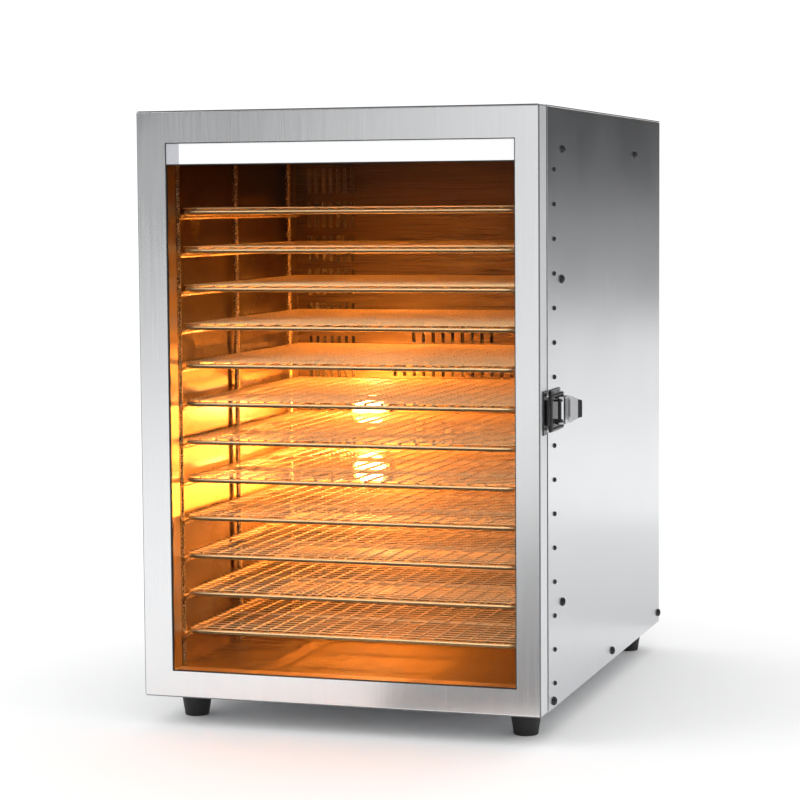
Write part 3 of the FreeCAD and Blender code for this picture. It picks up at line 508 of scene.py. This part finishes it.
lens, lens_shader = new_finish("lamp_glass", 0.15)
lens_clouds = noise(lens, 160, detail=1.0)
lens_colour = tint(lens, lens_clouds, (1.0, 0.70, 0.32), (1.0, 0.85, 0.55))
lens.node_tree.links.new(lens_colour, lens_shader.inputs["Base Color"])
lens.node_tree.links.new(lens_colour, lens_shader.inputs["Emission Color"])
lens_shader.inputs["Emission Strength"].default_value = 40.0
looks["lamp_glass"] = lens
print("glass: pane and lenses")

# %% [markdown]
# ## Handing out the finishes
# Every CAD node names the finish it wants. The chamber's walls take a dark, warm steel: painted
# shade, with a painted warm cast, for the dim chamber. The door's back and the case's front flange
# are of the same steel and take a lighter copy of it, painted light for parts out in the studio.

# %% Give every CAD node its finish
# These parts take the lighter copy of the chamber's steel, painted light.
IN_DAYLIGHT = ("door_inner_frame", "front_frame")
slots = {}
for name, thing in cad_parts.items():
    slots[name] = thing.data.materials[0].name.split(".")[0]
for name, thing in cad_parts.items():
    finish = slots[name]
    thing.data.materials.clear()
    thing.data.materials.append(looks["frame_steel" if name in IN_DAYLIGHT else finish])
print("finishes in use:", len(set(slots.values())))

# %% [markdown]
# ## Making a piece
# A new piece starts as a bmesh, is shaped with operators, and becomes an object that rides on a
# body of the machine. Rounded edges need smooth shading with flat faces kept flat, which is what
# the Weighted Normal modifier does.

# %% Piece helpers
SHARP_FROM = math.radians(42)


def piece(name, bm, body, finish, stands_for=(), extra=()):
    """Make an object of a bmesh, put it on a body, and let it stand for CAD nodes."""
    mesh = bpy.data.meshes.new(name)
    bm.to_mesh(mesh)
    bm.free()
    for look in (looks[finish], *extra):
        mesh.materials.append(look)
    mesh.shade_smooth()
    mesh.set_sharp_from_angle(angle=SHARP_FROM)
    thing = bpy.data.objects.new(name, mesh)
    scene.collection.objects.link(thing)
    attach(thing, body)
    if stands_for:
        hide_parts(*stands_for)
    return thing


def keep_flats(thing):
    """Shade the flats of a rounded piece flat, and its rounds smooth."""
    flats = thing.modifiers.new("flats", "WEIGHTED_NORMAL")
    flats.keep_sharp = True
    flats.weight = 80
    return thing


def bevel(bm, edges, width, segments=2):
    """Round some edges."""
    bmesh.ops.bevel(bm, geom=list(edges), offset=width, offset_type="OFFSET", segments=segments,
                    profile=0.5, affect="EDGES", clamp_overlap=True, material=-1)


def box(bm, low, high):
    """A box between two corners."""
    low, high = Vector(low), Vector(high)
    size = high - low
    place = Matrix.Translation((low + high) / 2) @ Matrix.Diagonal((*size, 1))
    bmesh.ops.create_cube(bm, size=1.0, matrix=place)


def give_thickness(thing, thickness):
    """Turn a thin skin into a sheet, inwards from its outer face."""
    sheet = thing.modifiers.new("sheet", "SOLIDIFY")
    sheet.thickness = thickness
    sheet.offset = -1


# %% [markdown]
# ## The door's skin
# The front of the door is one sheet with its edges folded back and a window cut out. A flat grid
# is cut along the four lines of the window, and the middle is thrown away. Its outer rim is then
# extruded back to make the folded sides, the folds are rounded with a bevel, and Solidify gives
# the sheet its thickness. The folds and the sides have steels of their own. Both are rougher,
# because bending and trimming leave the brushing duller there. The sides' steel is also painted
# lighter, a painted highlight, and the folds' steel is painted dark, a painted shade line on each fold.

# %% The window and the sheet
SHEET, FOLD, GASKET_LAP = 1.2 * MM, 2.4 * MM, 6 * MM
_, window_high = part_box("control_fascia")
cap_low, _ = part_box("fascia_end_cap")
glass_low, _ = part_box("door_glass")
window_left, window_right = cap_low.x, window_high.x
window_floor, window_top = glass_low.z + GASKET_LAP, window_high.z
print("window:", round(window_right - window_left, 3), "wide,", round(window_top - window_floor, 3), "high")

# %% Door skin
ON_A_LINE, AT_THE_RIM = 1e-6, 1e-5
FOLD_ANGLE = 1.0
SIDE_FACING, FOLD_FACING = 0.97, (0.25, 0.95)


def upright_face(middle, wide, tall):
    """A bmesh of one flat face that stands up and faces the front."""
    bm = bmesh.new()
    stand = Matrix.Rotation(math.radians(90), 4, "X")
    flat = Matrix.Translation(middle) @ stand @ Matrix.Diagonal((wide / 2, tall / 2, 1, 1))
    bmesh.ops.create_grid(bm, x_segments=1, y_segments=1, size=1.0, matrix=flat)
    return bm


def on_rim(edge):
    """Whether an edge lies along the outside of the door."""
    a, b = (vert.co for vert in edge.verts)
    off_side = min(abs(a.x - x) for x in (door_low.x, door_high.x))
    off_end = min(abs(a.z - z) for z in (door_low.z, door_high.z))
    on_side = abs(a.x - b.x) < ON_A_LINE and off_side < AT_THE_RIM
    on_end = abs(a.z - b.z) < ON_A_LINE and off_end < AT_THE_RIM
    return edge.is_boundary and (on_side or on_end)


middle = Vector((MIDDLE, door_low.y, (door_low.z + door_high.z) / 2))
bm = upright_face(middle, door_high.x - door_low.x, door_high.z - door_low.z)
window_lines = [((x, 0, 0), (1, 0, 0)) for x in (window_left, window_right)]
window_lines += [((0, 0, z), (0, 0, 1)) for z in (window_floor, window_top)]
for place, normal in window_lines:
    everything = bm.verts[:] + bm.edges[:] + bm.faces[:]
    bmesh.ops.bisect_plane(bm, geom=everything, plane_co=place, plane_no=normal)
hole = [f for f in bm.faces if window_left < f.calc_center_median().x < window_right
        and window_floor < f.calc_center_median().z < window_top]
bmesh.ops.delete(bm, geom=hole, context="FACES")
sides = bmesh.ops.extrude_edge_only(bm, edges=[e for e in bm.edges if on_rim(e)])["geom"]
moved = [v for v in sides if isinstance(v, bmesh.types.BMVert)]
bmesh.ops.translate(bm, verts=moved, vec=(0, door_high.y - door_low.y, 0))
bmesh.ops.recalc_face_normals(bm, faces=bm.faces)
folds = [e for e in bm.edges if not e.is_boundary and e.calc_face_angle(0) > FOLD_ANGLE]
bevel(bm, folds, FOLD, segments=4)
# The sides take a lighter steel, a painted highlight; the folds a dark one, a painted shade line.
for f in bm.faces:
    if abs(f.normal.x) > SIDE_FACING:
        f.material_index = 1
    elif FOLD_FACING[0] < abs(f.normal.y) < FOLD_FACING[1]:
        f.material_index = 2
door_finishes = [looks["door_side_highlight_steel"], looks["fold_shade_steel"]]
skin = piece("door_skin", bm, "door", "door_steel", ["door_frame"], door_finishes)
give_thickness(skin, SHEET)
keep_flats(skin)
print("door skin faces:", len(skin.data.polygons))

# %% [markdown]
# A thin dark seal lines the edge of the window. It is a flat face the size of the window, inset
# by its width; the middle is thrown away and Solidify gives the ring its depth.

# %% Window seal
SEAL_WIDE, SEAL_DEEP, SEAL_BACK = 1.3 * MM, 0.8 * MM, 0.2 * MM
centre = Vector(((window_left + window_right) / 2, door_low.y + SEAL_BACK,
                 (window_floor + window_top) / 2))
bm = upright_face(centre, window_right - window_left, window_top - window_floor)
bmesh.ops.inset_region(bm, faces=bm.faces[:], thickness=SEAL_WIDE, use_boundary=True)
inner = [f for f in bm.faces if (f.calc_center_median() - centre).length < SEAL_WIDE]
bmesh.ops.delete(bm, geom=inner, context="FACES")
seal = piece("window_seal", bm, "door", "seal_rubber")
give_thickness(seal, SEAL_DEEP)
print("window seal faces:", len(seal.data.polygons))

# %% [markdown]
# ## The case's sheets
# Two side sheets and a roof. Each starts as a box the size of its CAD part. The roof's edges are
# rounded over and the side sheets stop a hair below its top, which draws the fine dark seam that
# a real lid leaves.

# %% Side sheets and roof
SEAM, ROOF_DROP = 0.9 * MM, 0.6 * MM
SIDE_ROUND, ROOF_ROUND = 0.35 * MM, 0.7 * MM
for side in ("left", "right"):
    low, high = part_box(f"side_panel_{side}")
    bm = bmesh.new()
    box(bm, low, (high.x, high.y, high.z - SEAM))
    bevel(bm, bm.edges, SIDE_ROUND)
    keep_flats(piece(f"side_sheet_{side}", bm, "cabinet", "case_steel", [f"side_panel_{side}"]))
low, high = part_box("top_panel")
bm = bmesh.new()
box(bm, (low.x, low.y, low.z - ROOF_DROP), high)
bevel(bm, bm.edges, ROOF_ROUND, segments=3)
keep_flats(piece("roof_sheet", bm, "cabinet", "case_steel", ["top_panel"]))
print("seam under the roof:", SEAM * 1000, "mm")

# %% [markdown]
# ## Turned pieces
# Rivets, screw heads and feet are all round. Each is half an outline spun round an axis. The
# outline is drawn in X and Z, spun about Z, and the result is laid on the face it belongs to.

# %% A helper for turned pieces
MERGE = 1e-6
AXES = {
    "-x": Vector((-1, 0, 0)),
    "+x": Vector((1, 0, 0)),
    "+y": Vector((0, 1, 0)),
    "+z": Vector((0, 0, 1)),
}


def turned(outline, steps):
    """A round solid of (radius, height) points, whose outline is closed or starts on the axis."""
    bm = bmesh.new()
    points = [bm.verts.new((r, 0, z)) for r, z in outline]
    line = [bm.edges.new(pair) for pair in zip(points, points[1:])]
    bmesh.ops.spin(bm, geom=points + line, cent=(0, 0, 0), axis=(0, 0, 1), dvec=(0, 0, 0),
                   angle=math.tau, steps=steps, use_merge=True)
    bmesh.ops.remove_doubles(bm, verts=bm.verts, dist=MERGE)
    bmesh.ops.recalc_face_normals(bm, faces=bm.faces)
    mesh = bpy.data.meshes.new("turned")
    bm.to_mesh(mesh)
    bm.free()
    return mesh


def lay(bm, mesh, place, axis):
    """Add a copy of a turned mesh with its foot at a place and its axis outwards."""
    before = len(bm.verts)
    bm.from_mesh(mesh)
    bm.verts.ensure_lookup_table()
    turn = AXES["+z"].rotation_difference(AXES[axis]).to_matrix().to_4x4()
    bmesh.ops.transform(bm, matrix=Matrix.Translation(place) @ turn, verts=bm.verts[before:])


# %% [markdown]
# ## Finding the parts of a group
# A CAD node can hold a whole group of rivets. Its mesh is copied, loose triangles are merged, and
# the vertices are sorted into clumps that hang together. Each clump's box is one rivet's box.

# %% Helpers for groups
def merged(node, dist=MERGE):
    """A bmesh copy of a CAD node, with its loose triangles joined."""
    bm = bmesh.new()
    bm.from_mesh(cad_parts[node].data)
    bmesh.ops.remove_doubles(bm, verts=bm.verts, dist=dist)
    return bm


def clumps(todo, neighbours):
    """Sort a set of vertices or faces into groups that hang together."""
    while todo:
        group, reach = [], [todo.pop()]
        while reach:
            item = reach.pop()
            group.append(item)
            touching = neighbours(item) & todo
            todo -= touching
            reach.extend(touching)
        yield group


def box_of(verts):
    """The two corners of the box round some vertices."""
    xs, ys, zs = zip(*(v.co for v in verts))
    return Vector((min(xs), min(ys), min(zs))), Vector((max(xs), max(ys), max(zs)))


def in_order(boxes):
    """Boxes from left to right, so that every run makes the same mesh."""
    return sorted(boxes, key=lambda corners: tuple(corners[0]))


def islands(node):
    """The box of each separate solid of a CAD node that holds a group of them."""
    bm = merged(node)
    groups = clumps(set(bm.verts), lambda v: {e.other_vert(v) for e in v.link_edges})
    found = in_order(box_of(group) for group in groups)
    bm.free()
    return found


# %% Helpers for fasteners
NEAR_BACK = 2 * MM


def outward(low, high):
    """Which way a fastener's head points: away from the sheet that it is on."""
    centre = (low + high) / 2
    if centre.y > case_back - NEAR_BACK:
        return "+y"
    return "+x" if centre.x > MIDDLE else "-x"


def foot_of(low, high, axis):
    """The point of the sheet's face under a head."""
    centre = (low + high) / 2
    if axis == "+y":
        return Vector((centre.x, case_back, centre.z))
    return Vector((RIGHT if axis == "+x" else LEFT, centre.y, centre.z))


# %% [markdown]
# ## Rivets and screws
# A column of small black blind rivets runs down each side, just behind the door. Larger screws
# hold the corners. A blind rivet has a low dome with a dimple where its mandrel broke off, and a
# screw has a taller head with a drive recess.

# %% Rivets and case screws
# Outlines of (radius, height) in millimetres.
RIVET = [(0, 0.4), (0.7, 0.5), (0.9, 1.6), (1.2, 1.95), (1.9, 1.6), (2.4, 0.9), (2.6, 0)]
SCREW = [(0, 1.2), (1.7, 1.2), (1.9, 2.7), (2.3, 3.0), (3.2, 2.7), (4.1, 1.8), (4.55, 0.7), (4.6, 0)]
HEADS = (("side_rivets", "rivets", RIVET, 16), ("case_screws", "screws", SCREW, 20))
for node, name, outline, steps in HEADS:
    head = turned([(r * MM, z * MM) for r, z in outline], steps)
    bm = bmesh.new()
    heads = islands(node)
    for low, high in heads:
        axis = outward(low, high)
        lay(bm, head, foot_of(low, high, axis), axis)
    piece(name, bm, "cabinet", "dark_steel", [node])
    print(name, len(heads))

# %% [markdown]
# ## The feet
# Four moulded rubber feet, narrower at the floor, each with a well for its screw. The outline is
# spun like the screws, with a rounded edge where the rubber meets the floor.

# %% Feet
feet = islands("rubber_feet")
foot_high = feet[0][1].z - feet[0][0].z
foot_radius = (feet[0][1].x - feet[0][0].x) / 2
FLOOR_END, EDGE = 12.8 * MM, 0.8 * MM
BORE, WELL, WELL_HIGH = 2.6 * MM, 6.5 * MM, 8 * MM
outline = [
    (BORE, WELL_HIGH),
    (WELL, WELL_HIGH),
    (WELL, EDGE),
    (WELL + EDGE, 0),
    (FLOOR_END - 2 * EDGE, 0),
    (FLOOR_END - 0.4 * EDGE, 0.4 * EDGE),
    (FLOOR_END, 1.5 * EDGE),
    (foot_radius - 0.5 * EDGE, foot_high - 2 * EDGE),
    (foot_radius, foot_high - EDGE),
    (foot_radius, foot_high),
    (BORE, foot_high),
    (BORE, WELL_HIGH),
]
pad = turned(outline, steps=40)
bm = bmesh.new()
for low, high in feet:
    lay(bm, pad, Vector(((low.x + high.x) / 2, (low.y + high.y) / 2, 0)), "+z")
piece("feet", bm, "cabinet", "black_rubber", ["rubber_feet"])
print("feet:", len(feet))

# %% [markdown]
# ## Softening a CAD part
# A CAD part with the right shape but knife-sharp edges can be softened: its mesh is copied, the
# loose triangles are merged, flat areas are dissolved into whole faces, and the sharp edges get
# a small bevel. Sheet metal and castings always have such an edge.

# %% Softened copies
TRIANGLE_GAP = 2e-6
FLAT_WITHIN, SOFTEN_FROM = math.radians(0.5), math.radians(50)


def softened(node, name, body, width):
    """A copy of a CAD part with its sharp edges rounded; it stands for the part."""
    bm = merged(node, TRIANGLE_GAP)
    bmesh.ops.dissolve_limit(bm, angle_limit=FLAT_WITHIN, verts=bm.verts, edges=bm.edges)
    bmesh.ops.recalc_face_normals(bm, faces=bm.faces)
    sharp = [e for e in bm.edges if e.is_manifold and e.calc_face_angle(0) > SOFTEN_FROM]
    bevel(bm, sharp, width)
    return keep_flats(piece(name, bm, body, slots[node], [node]))


# A CAD node, the name of its softened copy, the body and the width of the bevel in millimetres.
TO_SOFTEN = (
    ("latch_base", "latch_stand", "cabinet", 0.35),
    ("latch_keeper", "latch_catch", "door", 0.35),
    ("latch_lever", "latch_handle", "latch_lever", 0.4),
    ("control_fascia", "window_strip", "door", 0.3),
    ("fascia_end_cap", "window_strip_cap", "door", 0.3),
    ("hinge_case_leaves", "hinge_plates_case", "cabinet", 0.35),
    ("hinge_door_leaves", "hinge_plates_door", "door", 0.35),
    ("mains_inlet", "inlet_socket", "cabinet", 0.5),
    ("switch_housing", "switch_bezel", "cabinet", 0.5),
    ("power_rocker", "rocker_cap", "power_rocker", 0.4),
    ("lamp_holders", "lamp_cups", "cabinet", 0.5),
)
soft_copies = {name: softened(node, name, body, width * MM) for node, name, body, width in TO_SOFTEN}
print("softened parts:", len(soft_copies))

# %% [markdown]
# The end of the latch's lever, where a finger pulls it, is painted dark: a painted shade on its
# end. Its faces take a second material, so the line between the two is sharp.

# %% The lever's painted shade
SHADED_END = 4.0 * MM
handle = soft_copies["latch_handle"]
handle.data.materials.append(looks["latch_dark"])
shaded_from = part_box("latch_lever")[1].x - SHADED_END
# Faces at the lever's end take the dark material, a painted shade.
shaded_faces = [face for face in handle.data.polygons if face.center.x > shaded_from]
for face in shaded_faces:
    face.material_index = 1
print("faces on the grip:", len(shaded_faces))

# %% [markdown]
# ## Louvres on the back
# Air slots in a sheet are pressed with a hood over each, so that nothing dripping from above gets
# in. A hood is a flattened ball cut by two planes: the sheet it grows from, and its open mouth at
# the foot. Solidify makes the thin shell. Each slot's place is read from the walls of the holes.

# %% Air slots
SLOT_TALLEST = 8 * MM


def holes(node):
    """The box of each hole in a sheet that lies in XZ, from the faces of its walls."""
    bm = merged(node)
    walls = {f for f in bm.faces if abs(f.normal.y) < 0.5}
    groups = clumps(walls, lambda face: {f for e in face.edges for f in e.link_faces})
    found = in_order(box_of([v for face in group for v in face.verts]) for group in groups)
    bm.free()
    return found


air_slots = [(low, high) for low, high in holes("rear_cover") if high.z - low.z < SLOT_TALLEST]
print("air slots:", len(air_slots))

# %% Louvre hoods
HOOD_PROUD, HOOD_TALL, HOOD_SHEET = 2.6 * MM, 11.5 * MM, 0.5 * MM
HOOD_PAST_SLOT, MOUTH_BELOW = 5 * MM, 0.5 * MM
slot_low, slot_high = air_slots[0]
hood_half = (slot_high.x - slot_low.x) / 2 + HOOD_PAST_SLOT
bm = bmesh.new()
bmesh.ops.create_uvsphere(bm, u_segments=32, v_segments=16, radius=1.0,
                          matrix=Matrix.Diagonal((hood_half, HOOD_PROUD, HOOD_TALL, 1)))
for normal in ((0, -1, 0), (0, 0, -1)):
    everything = bm.verts[:] + bm.edges[:] + bm.faces[:]
    bmesh.ops.bisect_plane(bm, geom=everything, plane_co=(0, 0, 0), plane_no=normal,
                           clear_outer=True, dist=1e-6)
one_hood = bpy.data.meshes.new("one_hood")
bm.to_mesh(one_hood)
bm.free()
bm = bmesh.new()
for low, high in air_slots:
    lay(bm, one_hood, Vector(((low.x + high.x) / 2, case_back, low.z - MOUTH_BELOW)), "+z")
hoods = piece("louvre_hoods", bm, "cabinet", "case_steel")
give_thickness(hoods, HOOD_SHEET)
print("louvre hoods:", len(air_slots))

# %% [markdown]
# ## The trays' mesh
# A tray is a rod frame with a row of long wires. Finer wires cross them, close enough to hold a
# slice of apple. There are hundreds, so each is a round bar with few faces. They ride on their
# own tray.

# %% Fine cross wires
TRAYS = 12
CROSS_WIRES, CROSS_FACES = 28, 8
CROSS_THICK, CROSS_SUNK = 0.9 * MM, 0.4 * MM
INSIDE_ROD, SHORT_OF_ROD = 4 * MM, 4 * MM
for number in range(1, TRAYS + 1):
    tray = f"tray_{number:02d}"
    low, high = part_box(tray)
    bm = bmesh.new()
    for i in range(CROSS_WIRES):
        y = low.y + INSIDE_ROD + (high.y - low.y - 2 * INSIDE_ROD) * i / (CROSS_WIRES - 1)
        middle = Vector((MIDDLE, y, high.z + CROSS_THICK / 2 - CROSS_SUNK))
        lying = Matrix.Translation(middle) @ Matrix.Rotation(math.radians(90), 4, "Y")
        bmesh.ops.create_cone(bm, segments=CROSS_FACES, radius1=CROSS_THICK / 2,
                              radius2=CROSS_THICK / 2, depth=high.x - low.x - SHORT_OF_ROD,
                              cap_ends=True, matrix=lying)
    piece(f"{tray}_mesh", bm, tray, "tray_wire")
print("cross wires on each tray:", CROSS_WIRES)
